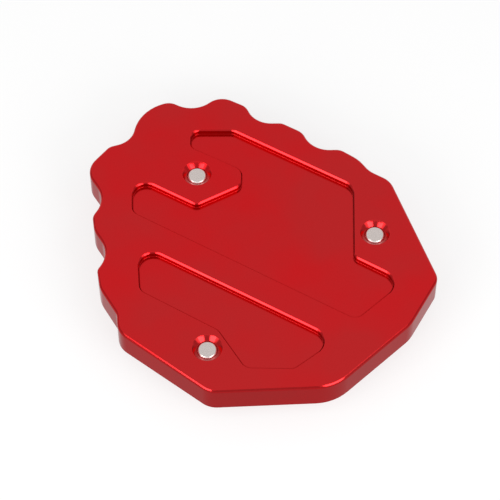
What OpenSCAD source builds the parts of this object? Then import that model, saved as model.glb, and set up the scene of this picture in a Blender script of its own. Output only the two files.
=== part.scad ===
// Side stand foot enlarger for a motorcycle. A wide base plate spreads the load of the stand on
// soft ground, and an open clamp frame holds the foot of the stand in a recess of the plate.
// The road face points up, so the part lies on its clamp frame. +X points to the mouth of the slot
// that the stand's leg leaves through, and the origin is the middle of the outline at the bottom.

/* [Base Plate] */
// thickness of the base plate
plate_t = 8; // [7:0.5:12]
// how far the plate's edge lies outside the drawn outline
edge_growth = 0; // [0:0.5:4]
// bevel along the edge of the road face
road_bevel = 0.5; // [0.2:0.1:0.8]
// bevel along the edge of the mounting face
under_bevel = 0.4; // [0.2:0.1:0.8]

/* [Road Face Pockets] */
// depth of the two milled pockets
pocket_depth = 1.6; // [0.8:0.1:2.2]
// bevel along the rim of each pocket
pocket_bevel = 0.4; // [0.2:0.1:0.6]

/* [Screws] */
// thread diameter
screw_d = 5; // [4:0.5:6]
// head diameter of the countersunk screws
head_d = 9.4; // [8:0.2:10.6]
// height of the straight rim of the head
head_rim = 0.3; // [0.1:0.1:0.6]
// width across the flats of the hexagon socket
socket_w = 3; // [2:0.5:4]
// depth of the hexagon socket
socket_depth = 1.7; // [1:0.1:2]
// how deep the heads lie under the clamp frame's free face
head_sink = 0.1; // [0:0.1:0.4]
// how deep the screw ends lie under the road face
end_setback = 0.9; // [0.5:0.1:1.4]
// bevel at the end of each thread
end_bevel = 0.4; // [0.2:0.1:0.8]

/* [Screw Holes] */
// mouth diameter of each threaded hole on the road face
mouth_d = 7.6; // [6.6:0.2:9]
// clearance between a thread and its hole, per side
thread_gap = 0.05; // [0.02:0.01:0.1]
// clearance between a screw and the hole through the clamp frame, per side
shank_gap = 0.25; // [0.1:0.05:0.4]
// clearance between a screw head and its countersink
head_gap = 0.05; // [0.02:0.01:0.1]
// place of the back screw along X
back_x = -23.4; // [-25:0.1:-23]
// place of the back screw along Y
back_y = -1; // [-2:0.1:0]
// place of the side screw along X
side_x = 15; // [14:0.1:16]
// place of the side screw along Y
side_y = 28.8; // [28:0.1:29.5]
// place of the front screw along X
front_x = 23.5; // [22.5:0.1:24.5]
// place of the front screw along Y
front_y = -24.4; // [-25.2:0.1:-23.5]

/* [Foot Recess] */
// middle of the recess along X
seat_x = 5; // [4:0.5:6]
// middle of the recess along Y
seat_y = 1.5; // [0.5:0.5:2.5]
// length of the recess for the stand's foot
seat_l = 42; // [38:1:43]
// width of the recess
seat_w = 34; // [31:1:35]
// corner radius of the recess
seat_r = 11; // [8:1:14]
// depth of the recess
seat_depth = 4.5; // [3:0.5:5]
// bevel along the rim of the recess
seat_bevel = 0.4; // [0.2:0.1:0.8]

/* [Clamp Frame] */
// thickness of the clamp frame
clamp_t = 5; // [4:0.5:6]
// radius of the frame's corner round each screw
boss_r = 7; // [6.5:0.5:7.5]
// how far the frame reaches over the foot at each side of the slot
side_lip = 4; // [3:0.5:6]
// how far the frame reaches over the back of the foot
back_lip = 7.5; // [6:0.5:10]
// corner radius at the mouth of the slot
mouth_r = 3; // [1:0.5:5]
// bevel along the frame's edges
clamp_bevel = 0.4; // [0.2:0.1:0.8]

/* [Hidden] */
$fn = 64;
arc_step = 7.5;
over = 1;
plate_color = [0.74, 0.14, 0.15];
clamp_color = [0.74, 0.14, 0.15];
steel_color = [0.72, 0.71, 0.70];

// Drawn outline of the base plate, counterclockwise: corner x, corner y, corner radius.
plate_rows = [
    // mouth side: straight edges with rounded corners
    [8.5, -41.1, 5.6], [34.6, -30.2, 5.6], [48.5, -3.2, 12.1], [42.5, 22.2, 9.8], [34.6, 35.3, 3.9],
    // far side: three shallow scallops
    [3.1, 40.8, 5.4], [-2.2, 37.8, 6.4], [-6.6, 37.4, 9.9], [-11.8, 34.9, 3.7], [-15.2, 28.6, 6.7],
    [-21.4, 29.3, 4.3], [-26.7, 26.2, 2.8], [-30.1, 20.2, 6.3],
    // back: two bold fingers and the scallops between them
    [-36.1, 20.8, 3.7], [-42.7, 16.6, 5.3], [-41.2, 8.1, 7.1], [-47.4, 4.4, 4.1], [-49, -3.9, 11],
    [-41.1, -10.6, 5.9], [-42.4, -16.4, 3],
    // near side: three shallow scallops
    [-39, -25.3, 5.7], [-28.2, -24.9, 7], [-25.2, -30.3, 2.9], [-21.1, -32, 6.6],
    [-13.1, -31.8, 7], [-10.2, -36.9, 2], [-5, -38.9, 7.9], [3.8, -38.8, 3.2]
];

// Rims of the two pockets in the road face, counterclockwise: corner x, corner y, corner radius.
wide_pocket_rows = [
    [-36.6, 4.4, 2.7], [-31.5, 1.4, 2.2], [-18.6, 9.3, 2.7], [-14.8, 6.8, 2.5], [-15.2, -5.8, 2],
    [-31.8, -15.5, 3.7], [-21.1, -21.3, 3.1], [34.9, 11.2, 3.1], [31.1, 27.9, 4.3], [18.5, 20.8, 2],
    [-0.1, 32, 4.1], [-31.1, 14, 3.1]
];
narrow_pocket_rows = [
    [0.6, -30.9, 3.1], [20.4, -19.8, 2.7], [33.1, -19.4, 3.1], [39.3, -9.1, 3.1], [37.3, 4.6, 4.3],
    [-12.7, -24.5, 3.9]
];

// Unit vector from point a to point b.
function unit(a, b) = [b[0] - a[0], b[1] - a[1]] / norm([b[0] - a[0], b[1] - a[1]]);

// Direction of the side that leaves corner i.
function side(rows, i) = unit(rows[i % len(rows)], rows[(i + 1) % len(rows)]);

// Direction a quarter turn to the left, which points inwards along a counterclockwise outline.
function left(v) = [-v[1], v[0]];

// Corner i after both its sides have moved inwards by the inset.
function corner(rows, i, inset) =
    let (a = left(side(rows, i + len(rows) - 1)), b = left(side(rows, i)))
    [rows[i][0], rows[i][1]] + (a + b) * inset / (1 + a * b);

// Points along the arc at corner i. Their number doesn't depend on the inset.
function arc(rows, i, inset) =
    let (
        a = side(rows, i + len(rows) - 1),
        b = side(rows, i),
        way = sign(a[0] * b[1] - a[1] * b[0]),
        angle = acos(a * b),
        radius = max(0.1, rows[i][2] - way * inset),
        start = corner(rows, i, inset) - a * radius * tan(angle / 2),
        centre = start + left(a) * radius * way,
        steps = max(1, ceil(angle / arc_step))
    )
    [for (k = [0 : steps])
        let (w = way * angle * k / steps, n = left(a))
        centre - way * radius * [n[0] * cos(w) - n[1] * sin(w), n[0] * sin(w) + n[1] * cos(w)]];

// All points of a rounded outline after its sides have moved inwards by the inset.
function outline(rows, inset) = [for (i = [0 : len(rows) - 1]) each arc(rows, i, inset)];

// The same outline as points in space at height z.
function level(rows, inset, z) = [for (p = outline(rows, inset)) [p[0], p[1], z]];

// Middle between the lowest and highest value of one coordinate.
function middle(points, axis) =
    (min([for (p = points) p[axis]]) + max([for (p = points) p[axis]])) / 2;

// Rows of an upright rectangle with four equal corner radii.
function rectangle_rows(x, y, l, w, r) = [
    [x - l / 2, y - w / 2, r],
    [x + l / 2, y - w / 2, r],
    [x + l / 2, y + w / 2, r],
    [x - l / 2, y + w / 2, r]
];

edge_line = outline(plate_rows, -edge_growth);
plan_middle = [middle(edge_line, 0), middle(edge_line, 1)];
stack_t = clamp_t + plate_t;

screw_places = [[back_x, back_y], [front_x, front_y], [side_x, side_y]];

// The slot is as wide as the recess less one lip at each side, and ends one lip from its back.
slot_w = seat_w - 2 * side_lip;
slot_low = seat_y - slot_w / 2;
slot_high = seat_y + slot_w / 2;
slot_end = seat_x - seat_l / 2 + back_lip;
end_flat = 1;
end_r = (slot_w - end_flat) / 2;

// Corners of the clamp frame: the triangle of screws moved outwards by the boss radius.
screw_rows = [for (p = screw_places) [p[0], p[1], 0]];
boss_corners = [for (i = [0 : 2]) corner(screw_rows, i, -boss_r)];

// Place along X of the frame's mouth edge at height y of the plan.
function mouth_x(y) =
    let (f = boss_corners[1], s = boss_corners[2])
    f[0] + (s[0] - f[0]) * (y - f[1]) / (s[1] - f[1]);

clamp_rows = [
    [boss_corners[0][0], boss_corners[0][1], boss_r],
    [boss_corners[1][0], boss_corners[1][1], boss_r],
    [mouth_x(slot_low), slot_low, mouth_r],
    [slot_end, slot_low, end_r],
    [slot_end, slot_high, end_r],
    [mouth_x(slot_high), slot_high, mouth_r],
    [boss_corners[2][0], boss_corners[2][1], boss_r]
];

head_h = head_rim + (head_d - screw_d) / 2;
screw_l = stack_t - end_setback - head_sink;

// Closed ring with a triangular section, through three loops with the same number of points:
// one at the foot of the section, one at its inner top and one at its outer top.
module ring(foot, inner, outer) {
    n = len(foot);
    polyhedron(
        points = concat(foot, inner, outer),
        faces = [
            for (i = [0 : n - 1])
                let (j = (i + 1) % n)
                each [
                    [i, j, n + j, n + i],
                    [n + i, n + j, 2 * n + j, 2 * n + i],
                    [2 * n + i, 2 * n + j, j, i]
                ]
        ],
        convexity = 10
    );
}

// Ring that cuts a 45 degree bevel round the top edge of a plate, at height z.
module edge_ring(rows, growth, bevel, z) {
    ring(
        level(rows, -growth - over, z - bevel - over),
        level(rows, -growth + bevel + over, z + over),
        level(rows, -growth - over, z + over)
    );
}

// Ring that cuts a 45 degree bevel round the rim of a pocket, at height z. Its inner side lies in
// the pocket's wall.
module rim_ring(rows, bevel, z) {
    ring(
        level(rows, bevel, z - bevel),
        level(rows, bevel, z + over),
        level(rows, -over, z + over)
    );
}

// Flat plate with a rounded outline and a bevel along its upper and lower edges.
module bevelled_plate(rows, growth, t, upper_bevel, lower_bevel) {
    difference() {
        linear_extrude(height = t)
            polygon(outline(rows, -growth));
        edge_ring(rows, growth, upper_bevel, t);
        translate([0, 0, t])
            mirror([0, 0, 1])
                edge_ring(rows, growth, lower_bevel, t);
    }
}

// Flat-bottomed pocket cut down from height z, with a bevelled rim.
module pocket(rows, depth, bevel, z) {
    translate([0, 0, z - depth])
        linear_extrude(height = depth + over)
            polygon(outline(rows, bevel));
    rim_ring(rows, bevel, z);
}

// Threaded hole through the base plate, with a 45 degree mouth in the road face.
module threaded_hole() {
    bore_d = screw_d + 2 * thread_gap;
    mouth_h = (mouth_d - bore_d) / 2;
    translate([0, 0, -over])
        cylinder(h = plate_t + 2 * over, d = bore_d);
    translate([0, 0, plate_t - mouth_h])
        cylinder(h = mouth_h + over, d1 = bore_d, d2 = mouth_d + 2 * over);
}

// Hole through the clamp frame, countersunk in the free face for the screw head.
module countersunk_hole() {
    sink_d = head_d + 2 * (head_sink + head_rim + head_gap);
    sink_h = (sink_d - screw_d) / 2;
    translate([0, 0, -over])
        cylinder(h = clamp_t + 2 * over, d = screw_d + 2 * shank_gap);
    translate([0, 0, -over])
        cylinder(h = sink_h + over, d1 = sink_d + 2 * over, d2 = screw_d);
}

// Plate that stands on the ground, with its road face up and the foot recess in its underside.
module base_plate() {
    color(plate_color)
        translate([-plan_middle[0], -plan_middle[1], clamp_t])
            difference() {
                bevelled_plate(plate_rows, edge_growth, plate_t, road_bevel, under_bevel);
                pocket(wide_pocket_rows, pocket_depth, pocket_bevel, plate_t);
                pocket(narrow_pocket_rows, pocket_depth, pocket_bevel, plate_t);
                mirror([0, 0, 1])
                    pocket(rectangle_rows(seat_x, seat_y, seat_l, seat_w, seat_r), seat_depth, seat_bevel, 0);
                for (p = screw_places)
                    translate([p[0], p[1], 0])
                        threaded_hole();
            }
}

// U-shaped frame that reaches over the rim of the stand's foot and leaves the leg a slot.
module clamp_frame() {
    color(clamp_color)
        translate([-plan_middle[0], -plan_middle[1], 0])
            difference() {
                bevelled_plate(clamp_rows, 0, clamp_t, clamp_bevel, clamp_bevel);
                for (p = screw_places)
                    translate([p[0], p[1], 0])
                        countersunk_hole();
            }
}

// Countersunk screw with a hexagon socket, its head down and its end just under the road face.
module clamp_screw() {
    head_r = head_d / 2;
    shank_r = screw_d / 2;
    socket_d = socket_w / cos(30);
    difference() {
        rotate_extrude()
            polygon([
                [0, 0],
                [head_r, 0],
                [head_r, head_rim],
                [shank_r, head_h],
                [shank_r, screw_l - end_bevel],
                [shank_r - end_bevel, screw_l],
                [0, screw_l]
            ]);
        translate([0, 0, -over])
            cylinder(h = socket_depth + over, d = socket_d, $fn = 6);
    }
}

// The three screws that hold the clamp frame to the base plate, each a solid of its own.
module clamp_screws() {
    color(steel_color)
        for (p = screw_places)
            translate([p[0] - plan_middle[0], p[1] - plan_middle[1], head_sink])
                clamp_screw();
}

base_plate();
clamp_frame();
clamp_screws();
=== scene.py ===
"""Side stand foot enlarger of red anodised aluminium, lying with its road face up.

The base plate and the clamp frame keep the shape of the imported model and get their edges
rounded. The three screws are built anew with their thread and hexagon socket.
"""

import logging
import math
from dataclasses import dataclass
from enum import Enum

import bmesh
import bpy
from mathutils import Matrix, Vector


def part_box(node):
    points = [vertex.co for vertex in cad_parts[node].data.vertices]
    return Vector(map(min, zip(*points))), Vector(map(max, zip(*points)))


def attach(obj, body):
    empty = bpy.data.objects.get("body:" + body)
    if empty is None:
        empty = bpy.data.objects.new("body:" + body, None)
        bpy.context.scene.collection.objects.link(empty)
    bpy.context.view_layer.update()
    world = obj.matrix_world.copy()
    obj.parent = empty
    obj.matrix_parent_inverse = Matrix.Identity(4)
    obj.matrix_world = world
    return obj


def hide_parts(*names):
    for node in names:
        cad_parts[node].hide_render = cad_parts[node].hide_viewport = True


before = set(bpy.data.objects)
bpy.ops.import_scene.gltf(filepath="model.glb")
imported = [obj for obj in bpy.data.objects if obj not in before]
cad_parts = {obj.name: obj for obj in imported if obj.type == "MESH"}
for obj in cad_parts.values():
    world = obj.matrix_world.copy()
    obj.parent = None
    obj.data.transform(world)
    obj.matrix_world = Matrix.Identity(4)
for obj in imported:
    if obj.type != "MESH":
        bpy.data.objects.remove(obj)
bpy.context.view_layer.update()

MM = 0.001
WHITE = "FFFFFF"
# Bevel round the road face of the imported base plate.
ROAD_BEVEL = 0.5 * MM
# Almost all values of a noise texture lie between these two.
NOISE_RANGE = (0.3, 0.7)
# Sockets of the Mix node, whose names repeat for each type of data.
VALUE_A, VALUE_B, MIXED_VALUE = 2, 3, 0
COLOUR_A, COLOUR_B, MIXED_COLOUR = 6, 7, 2

log = logging.getLogger("foot_enlarger")


class Slot(Enum):
    """Finishes that the record names."""

    RED = "red_anodised"
    STEEL = "screw_steel"


class Side(Enum):
    """Side of the camera that a softbox stands on, as the sign of its turn."""

    LEFT = -1
    RIGHT = 1


def linear(code: str) -> tuple[float, float, float, float]:
    """Turns an sRGB hex colour to linear values, by the formula of the sRGB standard.

    Args:
        code: Six hexadecimal digits.

    Returns:
        Linear red, green and blue, and an alpha of 1.
    """
    parts = [int(code[i : i + 2], 16) / 255 for i in (0, 2, 4)]
    red, green, blue = (
        p / 12.92 if p <= 0.04045 else ((p + 0.055) / 1.055) ** 2.4 for p in parts
    )
    return (red, green, blue, 1.0)


def add_node(
    tree: bpy.types.NodeTree,
    kind: str,
    settings: dict[str, object] | None = None,
    inputs: dict[str | int, object] | None = None,
) -> bpy.types.Node:
    """Adds a node, sets it up and links it.

    Args:
        tree: Tree that gets the node.
        kind: Name of the node's type.
        settings: Values of the node's own properties.
        inputs: Values of its input sockets. An output socket given as a value is linked.

    Returns:
        The new node.
    """
    node = tree.nodes.new(kind)
    for name, value in (settings or {}).items():
        setattr(node, name, value)
    for key, value in (inputs or {}).items():
        if isinstance(value, bpy.types.NodeSocket):
            tree.links.new(value, node.inputs[key])
        else:
            node.inputs[key].default_value = value
    return node


def upward(tree: bpy.types.NodeTree) -> bpy.types.NodeSocket:
    """Adds the nodes that tell how far a surface faces up.

    Args:
        tree: Tree of a material.

    Returns:
        The height of the surface's normal, from -1 to 1.
    """
    facing = add_node(tree, "ShaderNodeNewGeometry")
    slope = add_node(tree, "ShaderNodeSeparateXYZ", inputs={0: facing.outputs["Normal"]})
    return slope.outputs["Z"]


def ray_is(tree: bpy.types.NodeTree, *kinds: str) -> bpy.types.NodeSocket:
    """Adds the nodes that tell some kinds of ray from all others.

    Args:
        tree: Tree of a material or of the world.
        *kinds: Outputs of the Light Path node, one for each kind.

    Returns:
        A value of 1 for a ray of any of these kinds, and 0 for others.
    """
    path = add_node(tree, "ShaderNodeLightPath")
    found = path.outputs[kinds[0]]
    for kind in kinds[1:]:
        either = add_node(
            tree,
            "ShaderNodeMath",
            {"operation": "MAXIMUM"},
            {0: found, 1: path.outputs[kind]},
        )
        found = either.outputs[0]
    return found


def new_material(name: str) -> tuple[bpy.types.Material, bpy.types.NodeTree]:
    """Makes a material with an empty node tree.

    Args:
        name: Name of the material.

    Returns:
        The material and its tree.
    """
    material = bpy.data.materials.new(name)
    material.use_nodes = True
    material.node_tree.nodes.clear()
    return material, material.node_tree


@dataclass(frozen=True, kw_only=True)
class PittedMetal:
    """Metal with a finely pitted surface. Each finish adds its own colour."""

    name: str
    grain: float
    grain_detail: float
    pit_depth: float
    smoothest: float
    roughest: float
    edge_tint: str = WHITE

    def colour_of(
        self,
        tree: bpy.types.NodeTree,
        place: bpy.types.NodeSocket,
        grain: bpy.types.NodeSocket,
    ) -> bpy.types.NodeSocket:
        """Adds the nodes of the metal's colour.

        Args:
            tree: Tree of the material.
            place: Object coordinates.
            grain: Noise of the pitted surface.

        Returns:
            The colour.
        """
        raise NotImplementedError

    def material(self) -> bpy.types.Material:
        """Makes the material.

        Returns:
            The material.
        """
        material, tree = new_material(self.name)
        place = add_node(tree, "ShaderNodeTexCoord").outputs["Object"]
        noise = add_node(
            tree,
            "ShaderNodeTexNoise",
            inputs={"Vector": place, "Scale": 1 / self.grain, "Detail": self.grain_detail},
        )
        grain = noise.outputs["Fac"]
        polish = add_node(
            tree,
            "ShaderNodeMapRange",
            inputs={
                "Value": grain,
                "From Min": NOISE_RANGE[0],
                "From Max": NOISE_RANGE[1],
                "To Min": self.smoothest,
                "To Max": self.roughest,
            },
        )
        pits = add_node(
            tree,
            "ShaderNodeBump",
            inputs={"Height": grain, "Strength": 1.0, "Distance": self.pit_depth},
        )
        metal = add_node(
            tree,
            "ShaderNodeBsdfPrincipled",
            inputs={
                "Base Color": self.colour_of(tree, place, grain),
                "Metallic": 1.0,
                "Specular Tint": linear(self.edge_tint),
                "Roughness": polish.outputs["Result"],
                "Normal": pits.outputs["Normal"],
            },
        )
        add_node(tree, "ShaderNodeOutputMaterial", inputs={"Surface": metal.outputs["BSDF"]})
        return material


@dataclass(frozen=True, kw_only=True)
class AnodisedAluminium(PittedMetal):
    """Milled, bead-blasted and dyed aluminium.

    The eye gets a deep red metal with crisp reflections that a very fine grain softens.
    """

    name: str = "red_anodised_aluminium"
    # Blasting leaves pits of about 0.1 mm. They are drawn twice as wide, so that they show.
    grain: float = 0.2 * MM
    grain_detail: float = 2.0
    pit_depth: float = 0.0012 * MM
    smoothest: float = 0.13
    roughest: float = 0.19
    # The clear oxide holds back some of the light that glances off.
    edge_tint: str = "E4D8D8"
    # The dye lies a little deeper in some places, each about 24 mm wide.
    colour: str = "C11D21"
    pale_colour: str = "B62527"
    cloud: float = 24 * MM
    cloud_detail: float = 3.0
    cloud_range: tuple[float, float] = (0.35, 0.65)
    # Painted shade: upright sides are darkened below level faces. The normal's height tells them
    # apart.
    painted_wall_shade: float = 0.74
    painted_shade_range: tuple[float, float] = (0.25, 0.6)

    def colour_of(
        self,
        tree: bpy.types.NodeTree,
        place: bpy.types.NodeSocket,
        grain: bpy.types.NodeSocket,
    ) -> bpy.types.NodeSocket:
        """Adds the nodes of the dye, cloudy on the faces, with painted shade on the sides.

        Args:
            tree: Tree of the material.
            place: Object coordinates.
            grain: Noise of the pitted surface, which leaves the dye as it is.

        Returns:
            The colour.
        """
        cloud = add_node(
            tree,
            "ShaderNodeTexNoise",
            inputs={"Vector": place, "Scale": 1 / self.cloud, "Detail": self.cloud_detail},
        )
        depth = add_node(
            tree,
            "ShaderNodeMapRange",
            inputs={
                "Value": cloud.outputs["Fac"],
                "From Min": self.cloud_range[0],
                "From Max": self.cloud_range[1],
            },
        )
        dye = add_node(
            tree,
            "ShaderNodeMix",
            {"data_type": "RGBA"},
            {
                "Factor": depth.outputs["Result"],
                COLOUR_A: linear(self.colour),
                COLOUR_B: linear(self.pale_colour),
            },
        )
        # Painted shade: upright sides get a darker colour than level faces.
        level = add_node(tree, "ShaderNodeMath", {"operation": "ABSOLUTE"}, {0: upward(tree)})
        shade = add_node(
            tree,
            "ShaderNodeMapRange",
            inputs={
                "Value": level.outputs[0],
                "From Min": self.painted_shade_range[0],
                "From Max": self.painted_shade_range[1],
                "To Min": self.painted_wall_shade,
                "To Max": 1.0,
            },
        )
        shaded = add_node(
            tree,
            "ShaderNodeVectorMath",
            {"operation": "SCALE"},
            {0: dye.outputs[MIXED_COLOUR], "Scale": shade.outputs["Result"]},
        )
        return shaded.outputs[0]


@dataclass(frozen=True, kw_only=True)
class StainlessSteel(PittedMetal):
    """Stainless steel of the screws, rolled into a thread and sheared off at the end.

    The eye gets a warm grey metal, a little blurred and mottled on the sheared end, with a
    painted highlight on its bevel and painted shade on the thread, down in its hole.
    """

    neck_height: float
    end_height: float
    end_bevel: float
    name: str = "rolled_stainless_steel"
    # Shearing leaves marks of less than 0.1 mm. They are drawn as 0.3 mm, so that they show.
    grain: float = 0.3 * MM
    grain_detail: float = 3.0
    pit_depth: float = 0.001 * MM
    smoothest: float = 0.22
    roughest: float = 0.34
    sheared: str = "C8BFBB"
    dull: str = "BBB2AE"
    # Painted highlight on the end's bevel.
    painted_bevel_highlight: str = "DDD4D0"
    # Painted shade on the thread, down in its hole.
    painted_thread_shade: str = "42383A"
    # Heights of the normal between which a surface goes from the bevel's painted highlight to the
    # sheared end.
    end_range: tuple[float, float] = (0.93, 0.99)
    # Lengths of thread over which the painted shade starts above the head and below the end's
    # bevel.
    neck_fade: float = 0.4 * MM
    end_fade: float = 0.1 * MM

    def colour_of(
        self,
        tree: bpy.types.NodeTree,
        place: bpy.types.NodeSocket,
        grain: bpy.types.NodeSocket,
    ) -> bpy.types.NodeSocket:
        """Adds the nodes of the bare metal, of a painted highlight on its bevel and of painted
        shade in its thread.

        Args:
            tree: Tree of the material.
            place: Object coordinates.
            grain: Noise of the pitted surface, which mottles the sheared end.

        Returns:
            The colour.
        """
        mottled = add_node(
            tree,
            "ShaderNodeMix",
            {"data_type": "RGBA"},
            {"Factor": grain, COLOUR_A: linear(self.dull), COLOUR_B: linear(self.sheared)},
        )
        at_end = add_node(
            tree,
            "ShaderNodeMapRange",
            inputs={
                "Value": upward(tree),
                "From Min": self.end_range[0],
                "From Max": self.end_range[1],
            },
        )
        # Painted highlight: the end's bevel gets a lighter colour.
        bare = add_node(
            tree,
            "ShaderNodeMix",
            {"data_type": "RGBA"},
            {
                "Factor": at_end.outputs["Result"],
                COLOUR_A: linear(self.painted_bevel_highlight),
                COLOUR_B: mottled.outputs[MIXED_COLOUR],
            },
        )
        spot = add_node(tree, "ShaderNodeSeparateXYZ", inputs={0: place})
        # Painted shade: the thread is darkened between the head and the end's bevel.
        above_head = add_node(
            tree,
            "ShaderNodeMapRange",
            inputs={
                "Value": spot.outputs["Z"],
                "From Min": self.neck_height,
                "From Max": self.neck_height + self.neck_fade,
            },
        )
        bevel_foot = self.end_height - self.end_bevel
        below_bevel = add_node(
            tree,
            "ShaderNodeMapRange",
            inputs={
                "Value": spot.outputs["Z"],
                "From Min": bevel_foot,
                "From Max": bevel_foot - self.end_fade,
            },
        )
        in_thread = add_node(
            tree,
            "ShaderNodeMath",
            {"operation": "MULTIPLY"},
            {0: above_head.outputs["Result"], 1: below_bevel.outputs["Result"]},
        )
        toned = add_node(
            tree,
            "ShaderNodeMix",
            {"data_type": "RGBA"},
            {
                "Factor": in_thread.outputs[0],
                COLOUR_A: bare.outputs[MIXED_COLOUR],
                COLOUR_B: linear(self.painted_thread_shade),
            },
        )
        return toned.outputs[MIXED_COLOUR]


def add_piece(
    mesh: bpy.types.Mesh, name: str, material: bpy.types.Material
) -> bpy.types.Object:
    """Puts a mesh in the scene.

    Args:
        mesh: The piece's mesh, in its final place.
        name: Name of the piece.
        material: Its only material.

    Returns:
        The piece's object, at the origin.
    """
    mesh.materials.clear()
    mesh.materials.append(material)
    piece = bpy.data.objects.new(name, mesh)
    bpy.context.scene.collection.objects.link(piece)
    return piece


def finished(draft: bpy.types.Object) -> bpy.types.Mesh:
    """Turns what a draft's modifiers make into a plain mesh, and removes the draft.

    Args:
        draft: Object with its modifiers.

    Returns:
        The mesh.
    """
    bpy.context.view_layer.update()
    graph = bpy.context.evaluated_depsgraph_get()
    mesh = bpy.data.meshes.new_from_object(
        draft.evaluated_get(graph), preserve_all_data_layers=True, depsgraph=graph
    )
    bpy.data.objects.remove(draft)
    return mesh


@dataclass
class MilledPart:
    """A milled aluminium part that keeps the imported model's shape and gets its edges rounded.

    An outer edge gets edge_break, or soft_edge where it lies at soft_height, and an inner
    corner gets inner_fillet. Faces that meet at less than sharp_angle run on smoothly.
    """

    node: str
    piece_name: str
    edge_break: float = 0.05 * MM
    inner_fillet: float = 0.08 * MM
    soft_edge: float = 0.3 * MM
    soft_height: float = math.inf
    rounding_steps: int = 3
    merge_distance: float = 0.002 * MM
    flat_angle: float = math.radians(1)
    sharp_angle: float = math.radians(20)
    # Share of a large face in the normals at its rim, so that it shades flat. 100 is the most.
    flat_weight: int = 100

    def shape(self) -> bpy.types.Mesh:
        """Copies the node's mesh, merged, and marks how far each edge is rounded.

        Returns:
            The marked mesh.
        """
        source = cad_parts[self.node].data
        form = bmesh.new()
        form.from_mesh(source)
        bmesh.ops.remove_doubles(form, verts=form.verts, dist=self.merge_distance)
        bmesh.ops.dissolve_limit(
            form, angle_limit=self.flat_angle, verts=form.verts, edges=form.edges
        )
        rounding = form.edges.layers.float.new("bevel_weight_edge")
        for edge in form.edges:
            edge[rounding] = self.edge_rounding(edge) / self.soft_edge
        mesh = bpy.data.meshes.new(self.piece_name)
        form.to_mesh(mesh)
        form.free()
        mesh.shade_smooth()
        return mesh

    def edge_rounding(self, edge: bmesh.types.BMEdge) -> float:
        """Finds how far an edge is rounded.

        Args:
            edge: Edge of the merged mesh.

        Returns:
            The width of the rounding, which is 0 where the faces run on smoothly.
        """
        turn = edge.calc_face_angle_signed(0.0)
        if turn < -self.sharp_angle:
            return self.inner_fillet
        if turn < self.sharp_angle:
            return 0.0
        if all(abs(v.co.z - self.soft_height) < self.edge_break for v in edge.verts):
            return self.soft_edge
        return self.edge_break

    def build(self, material: bpy.types.Material) -> bpy.types.Object:
        """Builds the finished piece in place of its node.

        Args:
            material: Finish of the part.

        Returns:
            The piece.
        """
        draft = add_piece(self.shape(), self.piece_name + "_draft", material)
        breaking = draft.modifiers.new("edge_break", "BEVEL")
        breaking.limit_method = "WEIGHT"
        breaking.width = self.soft_edge
        breaking.segments = self.rounding_steps
        breaking.use_clamp_overlap = True
        facing = draft.modifiers.new("flat_faces", "WEIGHTED_NORMAL")
        facing.mode = "FACE_AREA"
        facing.weight = self.flat_weight
        piece = add_piece(finished(draft), self.piece_name, material)
        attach(piece, "root")
        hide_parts(self.node)
        return piece


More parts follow.
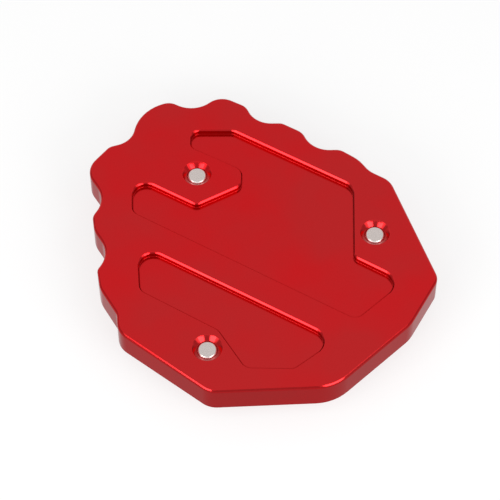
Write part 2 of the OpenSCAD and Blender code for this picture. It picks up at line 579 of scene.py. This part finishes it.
@dataclass
class CountersunkScrew:
    """Countersunk screw with a hexagon socket and a rolled thread, its head down."""

    diameter: float = 5.0 * MM
    length: float = 12.0 * MM
    head_diameter: float = 9.4 * MM
    head_rim: float = 0.3 * MM
    rim_rounding: float = 0.06 * MM
    # Share of the rim's rounding that its middle lies in from the corner.
    rounding_middle: float = 0.3
    # The shank is a trace thinner where it leaves the head.
    neck_inset: float = 0.006 * MM
    neck_length: float = 0.25 * MM
    pitch: float = 0.8 * MM
    thread_depth: float = 0.44 * MM
    # Share of half a pitch that is flat at the root, and again at the crest.
    thread_flat: float = 0.12
    run_out: float = 0.5 * MM
    rings_per_pitch: int = 8
    end_bevel: float = 0.4 * MM
    # Share of a quarter round in the end's bevel, which is a cone otherwise.
    end_roundness: float = 0.2
    end_steps: int = 6
    # Rings on the flat of the end, as shares of its radius.
    flat_rings: tuple[float, ...] = (0.96, 0.4)
    socket_width: float = 3.0 * MM
    socket_depth: float = 1.7 * MM
    socket_chamfer: float = 0.12 * MM
    # The drill leaves a cone in the socket's floor.
    cone_share: float = 0.75
    cone_foot: float = 0.12 * MM
    cone_tip: float = 0.55 * MM
    around: int = 48
    sharp_angle: float = math.radians(32)

    def thread_radius(self, turn: float, height: float) -> float:
        """Finds the radius of the thread.

        Args:
            turn: Place round the axis, in whole turns.
            height: Height above the underside of the head.

        Returns:
            Distance of the thread's surface from the axis.
        """
        phase = (height / self.pitch - turn) % 1.0
        rise = abs(2 * phase - 1)
        flank = (rise - self.thread_flat) / (1 - 2 * self.thread_flat)
        return self.diameter / 2 - self.thread_depth * (1 - min(1.0, max(0.0, flank)))

    def neck(self) -> float:
        """Height of the place where the head's cone meets the shank."""
        return self.head_rim + (self.head_diameter - self.diameter) / 2

    def rings(self) -> list[list[Vector]]:
        """Lays rings of points from the head's underside up the thread and over the end.

        Returns:
            The rings in order, each with one point for each step round the axis.
        """
        angles = [2 * math.pi * i / self.around for i in range(self.around)]
        found: list[list[Vector]] = []

        def ring(radii: list[float], height: float) -> None:
            """Adds a ring with a radius for each step."""
            found.append(
                [
                    Vector((radius * math.cos(angle), radius * math.sin(angle), height))
                    for radius, angle in zip(radii, angles)
                ]
            )

        def round_ring(radius: float, height: float) -> None:
            """Adds a ring with one radius."""
            ring([radius] * self.around, height)

        head = self.head_diameter / 2
        shank = self.diameter / 2
        neck = self.neck()
        soft = self.rim_rounding
        for radius, height in (
            (head - soft, 0.0),
            (head - self.rounding_middle * soft, self.rounding_middle * soft),
            (head, soft),
            (head, self.head_rim - soft / 2),
            (head - soft / 2, self.head_rim + soft / 2),
            (shank + soft, neck - soft),
            (shank - self.neck_inset, neck + soft),
        ):
            round_ring(radius, height)
        first = neck + self.neck_length
        last = self.length - self.end_bevel
        count = round((last - first) / self.pitch * self.rings_per_pitch)
        for step in range(count + 1):
            height = first + (last - first) * step / count
            share = min(1.0, (height - first) / self.pitch, (last - height) / self.run_out)
            ring(
                [
                    shank + (self.thread_radius(i / self.around, height) - shank) * share
                    for i in range(self.around)
                ],
                height,
            )
        flat = shank - self.end_bevel
        for step in reversed(range(self.end_steps)):
            share = step / self.end_steps
            tilt = math.pi / 2 * share
            cone = (1 - self.end_roundness) * share
            out = cone + self.end_roundness * math.sin(tilt)
            down = cone + self.end_roundness * (1 - math.cos(tilt))
            round_ring(flat + self.end_bevel * out, self.length - self.end_bevel * down)
        for share in self.flat_rings:
            round_ring(share * flat, self.length)
        return found

    def socket_ring(self, height: float, widening: float = 0.0) -> list[Vector]:
        """Lays a ring of points round the hexagon socket.

        Args:
            height: Height of the ring.
            widening: How far the flats lie outside the socket's own.

        Returns:
            One point for each step round the axis.
        """
        points = []
        side = math.pi / 3
        for i in range(self.around):
            angle = 2 * math.pi * i / self.around
            off = (angle + side / 2) % side - side / 2
            reach = (self.socket_width / 2 + widening) / math.cos(off)
            points.append(Vector((reach * math.cos(angle), reach * math.sin(angle), height)))
        return points

    def mesh(self) -> bpy.types.Mesh:
        """Builds the screw's mesh, standing on the origin.

        Returns:
            The closed mesh.
        """
        wall_top = self.socket_ring(self.socket_depth)
        cone = [
            Vector((p.x * self.cone_share, p.y * self.cone_share, p.z + self.cone_foot))
            for p in wall_top
        ]
        loops = [
            cone,
            wall_top,
            self.socket_ring(self.socket_chamfer),
            self.socket_ring(0.0, self.socket_chamfer),
            *self.rings(),
        ]
        form = bmesh.new()
        rows = [[form.verts.new(point) for point in loop] for loop in loops]
        for low, high in zip(rows, rows[1:]):
            for i in range(self.around):
                j = (i + 1) % self.around
                form.faces.new((low[i], low[j], high[j], high[i]))
        for row, height in ((rows[0], self.socket_depth + self.cone_tip), (rows[-1], self.length)):
            tip = form.verts.new((0, 0, height))
            for i in range(self.around):
                form.faces.new((row[i], row[(i + 1) % self.around], tip))
        bmesh.ops.recalc_face_normals(form, faces=form.faces)
        mesh = bpy.data.meshes.new("screw_blank")
        form.to_mesh(mesh)
        form.free()
        mesh.shade_smooth()
        mesh.set_sharp_from_angle(angle=self.sharp_angle)
        return mesh


@dataclass
class ScrewSet:
    """The three screws that hold the clamp frame to the base plate."""

    screw: CountersunkScrew
    node: str = "clamp_screws"
    # Corners this close together, in head diameters, belong to the same screw.
    same_screw: float = 1.2
    first_turn: float = math.radians(20)
    turn_step: float = math.radians(55)

    def places(self) -> list[Vector]:
        """Finds the middle of each screw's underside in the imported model.

        Returns:
            One place for each screw.
        """
        groups: list[list[Vector]] = []
        reach = self.same_screw * self.screw.head_diameter
        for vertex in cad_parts[self.node].data.vertices:
            for group in groups:
                if (group[0].xy - vertex.co.xy).length < reach:
                    group.append(vertex.co)
                    break
            else:
                groups.append([vertex.co])
        found = []
        for group in groups:
            low = Vector([min(corner[i] for corner in group) for i in range(3)])
            high = Vector([max(corner[i] for corner in group) for i in range(3)])
            found.append(Vector(((low.x + high.x) / 2, (low.y + high.y) / 2, low.z)))
        return sorted(found, key=lambda place: place.x)

    def tree(self) -> bpy.types.NodeTree:
        """Builds the node tree that sets a screw on each point.

        Returns:
            The tree.
        """
        tree = bpy.data.node_groups.new("screw_set", "GeometryNodeTree")
        for name, way, kind in (
            ("Geometry", "OUTPUT", "Geometry"),
            ("Geometry", "INPUT", "Geometry"),
            ("Screw", "INPUT", "Object"),
            ("Finish", "INPUT", "Material"),
            ("First Turn", "INPUT", "Float"),
            ("Turn Step", "INPUT", "Float"),
        ):
            tree.interface.new_socket(name, in_out=way, socket_type=f"NodeSocket{kind}")
        given = add_node(tree, "NodeGroupInput").outputs
        number = add_node(tree, "GeometryNodeInputIndex")
        turn = add_node(
            tree,
            "ShaderNodeMath",
            {"operation": "MULTIPLY_ADD"},
            {0: number.outputs[0], 1: given["Turn Step"], 2: given["First Turn"]},
        )
        about_z = add_node(tree, "ShaderNodeCombineXYZ", inputs={"Z": turn.outputs[0]})
        blank = add_node(tree, "GeometryNodeObjectInfo", inputs={"Object": given["Screw"]})
        points = add_node(tree, "GeometryNodeMeshToPoints", inputs={"Mesh": given["Geometry"]})
        screws = add_node(
            tree,
            "GeometryNodeInstanceOnPoints",
            inputs={
                "Points": points.outputs[0],
                "Instance": blank.outputs["Geometry"],
                "Rotation": about_z.outputs[0],
            },
        )
        solid = add_node(
            tree, "GeometryNodeRealizeInstances", inputs={"Geometry": screws.outputs[0]}
        )
        dressed = add_node(
            tree,
            "GeometryNodeSetMaterial",
            inputs={"Geometry": solid.outputs[0], "Material": given["Finish"]},
        )
        add_node(tree, "NodeGroupOutput", inputs={"Geometry": dressed.outputs[0]})
        return tree

    def build(self, material: bpy.types.Material) -> bpy.types.Object:
        """Builds the three screws in place of their node.

        Args:
            material: Finish of the screws.

        Returns:
            The piece that holds all three.
        """
        blank = add_piece(self.screw.mesh(), "screw_blank", material)
        spots = bpy.data.meshes.new("screw_places")
        spots.from_pydata([tuple(place) for place in self.places()], [], [])
        draft = add_piece(spots, "screw_places", material)
        tree = self.tree()
        setting = draft.modifiers.new("screws", "NODES")
        setting.node_group = tree
        values = {
            "Screw": blank,
            "Finish": material,
            "First Turn": self.first_turn,
            "Turn Step": self.turn_step,
        }
        for socket in tree.interface.items_tree:
            if socket.in_out == "INPUT" and socket.name in values:
                setting[socket.identifier] = values[socket.name]
        piece = add_piece(finished(draft), "screws_finished", material)
        bpy.data.objects.remove(blank)
        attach(piece, "root")
        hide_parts(self.node)
        return piece


@dataclass(frozen=True)
class Softbox:
    """Light with a rectangular front that faces the object, one on each side of the camera.

    Its turn is from the camera's azimuth and its elevation from the floor, in degrees. Its
    power is in watts, and the rest is in metres.
    """

    name: str
    turn: float
    elevation: float
    width: float
    height: float
    power: float
    distance: float = 0.7


@dataclass
class Studio:
    """Pale floor, soft light and the camera of a plain product picture.

    Angles are in degrees, the lens and the sensor in millimetres, and the rest in metres.
    """

    aim: tuple[float, float, float] = (4.075 * MM, -1.130 * MM, 13.07 * MM)
    azimuth: float = 60.0
    elevation: float = 56.0
    distance: float = 550 * MM
    lens: float = 158.4
    sensor: float = 36.0
    clip_start: float = 0.01
    clip_end: float = 50.0
    floor_size: float = 6.0
    floor_colour: str = "FAFAFA"
    # Share of plain white in the floor that is seen, straight or mirrored. The rest is
    # painted and holds the shadow.
    floor_glow: float = 0.7
    softboxes: tuple[Softbox, ...] = (
        Softbox("low_softbox", turn=38.5, elevation=27.0, width=0.40, height=0.26, power=1.94),
        Softbox("side_panel", turn=63.0, elevation=42.0, width=0.27, height=0.56, power=0.68),
    )
    # Strength of the sky that lights dull surfaces.
    fill: float = 0.58
    # Strengths by elevation of the sky that metal mirrors, on the side away from the camera
    # and on the camera's side.
    sky_behind: tuple[tuple[float, float], ...] = (
        (0, 0.25),
        (8, 0.4),
        (20, 1.6),
        (36, 1.6),
        (47, 0.94),
        (64, 1.06),
    )
    sky_before: tuple[tuple[float, float], ...] = ((0, 0.6), (34, 0.66), (46, 1.2))
    # The one turns into the other between these cosines of the angle from the camera's side.
    sky_change: tuple[float, float] = (-0.5, 0.0)

    def direction(self, turn: float, elevation: float) -> Vector:
        """Finds a direction from the object.

        Args:
            turn: Degrees from the camera's azimuth, to the right as the camera sees it.
            elevation: Degrees above the floor.

        Returns:
            A unit vector.
        """
        a = math.radians(self.azimuth + turn)
        e = math.radians(elevation)
        return Vector((math.sin(a) * math.cos(e), -math.cos(a) * math.cos(e), math.sin(e)))

    def build(self) -> None:
        """Builds the whole studio."""
        self.add_camera()
        self.add_floor()
        self.light_world()
        for softbox in self.softboxes:
            for side in Side:
                self.add_softbox(softbox, side)

    def add_camera(self) -> None:
        """Adds the camera at the photograph's viewing angle."""
        data = bpy.data.cameras.new("camera")
        data.lens = self.lens
        data.sensor_width = self.sensor
        data.clip_start = self.clip_start
        data.clip_end = self.clip_end
        camera = bpy.data.objects.new("camera", data)
        bpy.context.scene.collection.objects.link(camera)
        back = self.direction(0.0, self.elevation)
        camera.location = Vector(self.aim) + back * self.distance
        camera.rotation_mode = "QUATERNION"
        camera.rotation_quaternion = (-back).to_track_quat("-Z", "Y")
        bpy.context.scene.camera = camera

    def add_floor(self) -> None:
        """Adds the white table top that the object lies on."""
        half = self.floor_size / 2
        mesh = bpy.data.meshes.new("floor")
        mesh.from_pydata(
            [(-half, -half, 0), (half, -half, 0), (half, half, 0), (-half, half, 0)],
            [],
            [(0, 1, 2, 3)],
        )
        material, tree = new_material("white_table_top")
        paint = add_node(
            tree, "ShaderNodeBsdfDiffuse", inputs={"Color": linear(self.floor_colour)}
        )
        glow = add_node(
            tree, "ShaderNodeEmission", inputs={"Color": linear(WHITE), "Strength": 1.0}
        )
        seen = ray_is(tree, "Is Camera Ray", "Is Glossy Ray", "Is Transmission Ray")
        share = add_node(
            tree, "ShaderNodeMath", {"operation": "MULTIPLY"}, {0: seen, 1: self.floor_glow}
        )
        surface = add_node(
            tree,
            "ShaderNodeMixShader",
            inputs={0: share.outputs[0], 1: paint.outputs[0], 2: glow.outputs[0]},
        )
        add_node(tree, "ShaderNodeOutputMaterial", inputs={"Surface": surface.outputs[0]})
        add_piece(mesh, "floor", material)

    def light_world(self) -> None:
        """Lights the world softly: white where it is seen, and banded where metal mirrors it."""
        world = bpy.data.worlds.new("studio")
        bpy.context.scene.world = world
        world.use_nodes = True
        tree = world.node_tree
        tree.nodes.clear()
        place = add_node(tree, "ShaderNodeTexCoord").outputs["Generated"]
        axes = add_node(tree, "ShaderNodeSeparateXYZ", inputs={0: place})
        towards_camera = add_node(
            tree,
            "ShaderNodeVectorMath",
            {"operation": "DOT_PRODUCT"},
            {0: place, 1: self.direction(0.0, 0.0)},
        )
        before = add_node(
            tree,
            "ShaderNodeMapRange",
            inputs={
                "Value": towards_camera.outputs["Value"],
                "From Min": self.sky_change[0],
                "From Max": self.sky_change[1],
            },
        )
        mirrored = add_node(
            tree,
            "ShaderNodeMix",
            {"data_type": "FLOAT"},
            {
                "Factor": before.outputs["Result"],
                VALUE_A: self.sky_band(tree, axes.outputs["Z"], self.sky_behind),
                VALUE_B: self.sky_band(tree, axes.outputs["Z"], self.sky_before),
            },
        )
        lit = add_node(
            tree,
            "ShaderNodeMix",
            {"data_type": "FLOAT"},
            {
                "Factor": ray_is(tree, "Is Glossy Ray"),
                VALUE_A: self.fill,
                VALUE_B: mirrored.outputs[MIXED_VALUE],
            },
        )
        strength = add_node(
            tree,
            "ShaderNodeMix",
            {"data_type": "FLOAT"},
            {
                "Factor": ray_is(tree, "Is Camera Ray", "Is Transmission Ray"),
                VALUE_A: lit.outputs[MIXED_VALUE],
                VALUE_B: 1.0,
            },
        )
        light = add_node(
            tree,
            "ShaderNodeBackground",
            inputs={"Color": linear(WHITE), "Strength": strength.outputs[MIXED_VALUE]},
        )
        add_node(tree, "ShaderNodeOutputWorld", inputs={"Surface": light.outputs[0]})

    def sky_band(
        self,
        tree: bpy.types.NodeTree,
        height: bpy.types.NodeSocket,
        stops: tuple[tuple[float, float], ...],
    ) -> bpy.types.NodeSocket:
        """Adds the nodes that give the sky's strength by elevation.

        Args:
            tree: Node tree of the world.
            height: Sine of the elevation.
            stops: Pairs of an elevation in degrees and a strength.

        Returns:
            The strength.
        """
        ramp = add_node(tree, "ShaderNodeValToRGB", inputs={0: height})
        marks = ramp.color_ramp.elements
        brightest = max(strength for _, strength in stops)
        # A new ramp has two marks and keeps at least one, which becomes the first stop.
        marks.remove(marks[0])
        for number, (elevation, strength) in enumerate(stops):
            place = math.sin(math.radians(elevation))
            mark = marks.new(place) if number else marks[0]
            mark.position = place
            grey = strength / brightest
            mark.color = (grey, grey, grey, 1.0)
        scaled = add_node(
            tree,
            "ShaderNodeMath",
            {"operation": "MULTIPLY"},
            {0: ramp.outputs["Color"], 1: brightest},
        )
        return scaled.outputs[0]

    def add_softbox(self, softbox: Softbox, side: Side) -> None:
        """Adds one of a pair of softboxes.

        Args:
            softbox: Its size, place and power.
            side: Side of the camera that it stands on.
        """
        data = bpy.data.lights.new(f"{softbox.name}_{side.name.lower()}", "AREA")
        data.shape = "RECTANGLE"
        data.size = softbox.width
        data.size_y = softbox.height
        data.energy = softbox.power
        light = bpy.data.objects.new(data.name, data)
        bpy.context.scene.collection.objects.link(light)
        away = self.direction(side.value * softbox.turn, softbox.elevation)
        light.location = away * softbox.distance
        light.rotation_mode = "QUATERNION"
        light.rotation_quaternion = away.to_track_quat("Z", "Y")
        light.visible_camera = False


def main() -> None:
    """Builds the studio and the object, and reports each piece."""
    logging.basicConfig(level=logging.INFO, format="%(name)s: %(message)s")
    bpy.context.scene.view_settings.view_transform = "Standard"
    Studio().build()
    screw = CountersunkScrew()
    low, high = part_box("clamp_screws")
    red = AnodisedAluminium().material()
    steel = StainlessSteel(
        neck_height=low[2] + screw.neck(), end_height=high[2], end_bevel=screw.end_bevel
    ).material()
    bevel_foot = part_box("base_plate")[1][2] - ROAD_BEVEL
    for part, finish in (
        (MilledPart("base_plate", "plate_finished", soft_height=bevel_foot), red),
        (MilledPart("clamp_frame", "frame_finished"), red),
        (ScrewSet(screw), steel),
    ):
        piece = part.build(finish)
        log.info("%s: %d faces", piece.name, len(piece.data.polygons))


if __name__ == "__main__":
    main()
